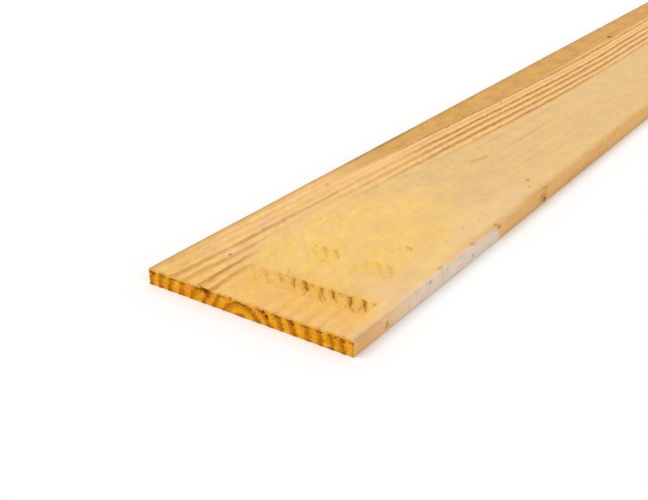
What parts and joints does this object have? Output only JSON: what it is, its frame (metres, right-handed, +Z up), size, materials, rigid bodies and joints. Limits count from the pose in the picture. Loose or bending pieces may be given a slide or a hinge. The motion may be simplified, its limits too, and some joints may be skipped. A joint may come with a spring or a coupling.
{
  "type": "pine board",
  "caption": "Straight length of dressed flat-sawn pine board with eased long edges and square-cut ends, lying on its wide face.",
  "frame": {"origin": "centre of the bottom wide face, which lies on the floor", "axes": "+Y along the grain and the length, +X across the width, +Z up through the thickness; the end with the grain shown in the picture faces -Y"},
  "size_m": [0.29, 2.4, 0.021],
  "materials": {
    "pine": "matte"
  },
  "bodies": {
    "root": {"board": "pine"}
  },
  "joints": []
}
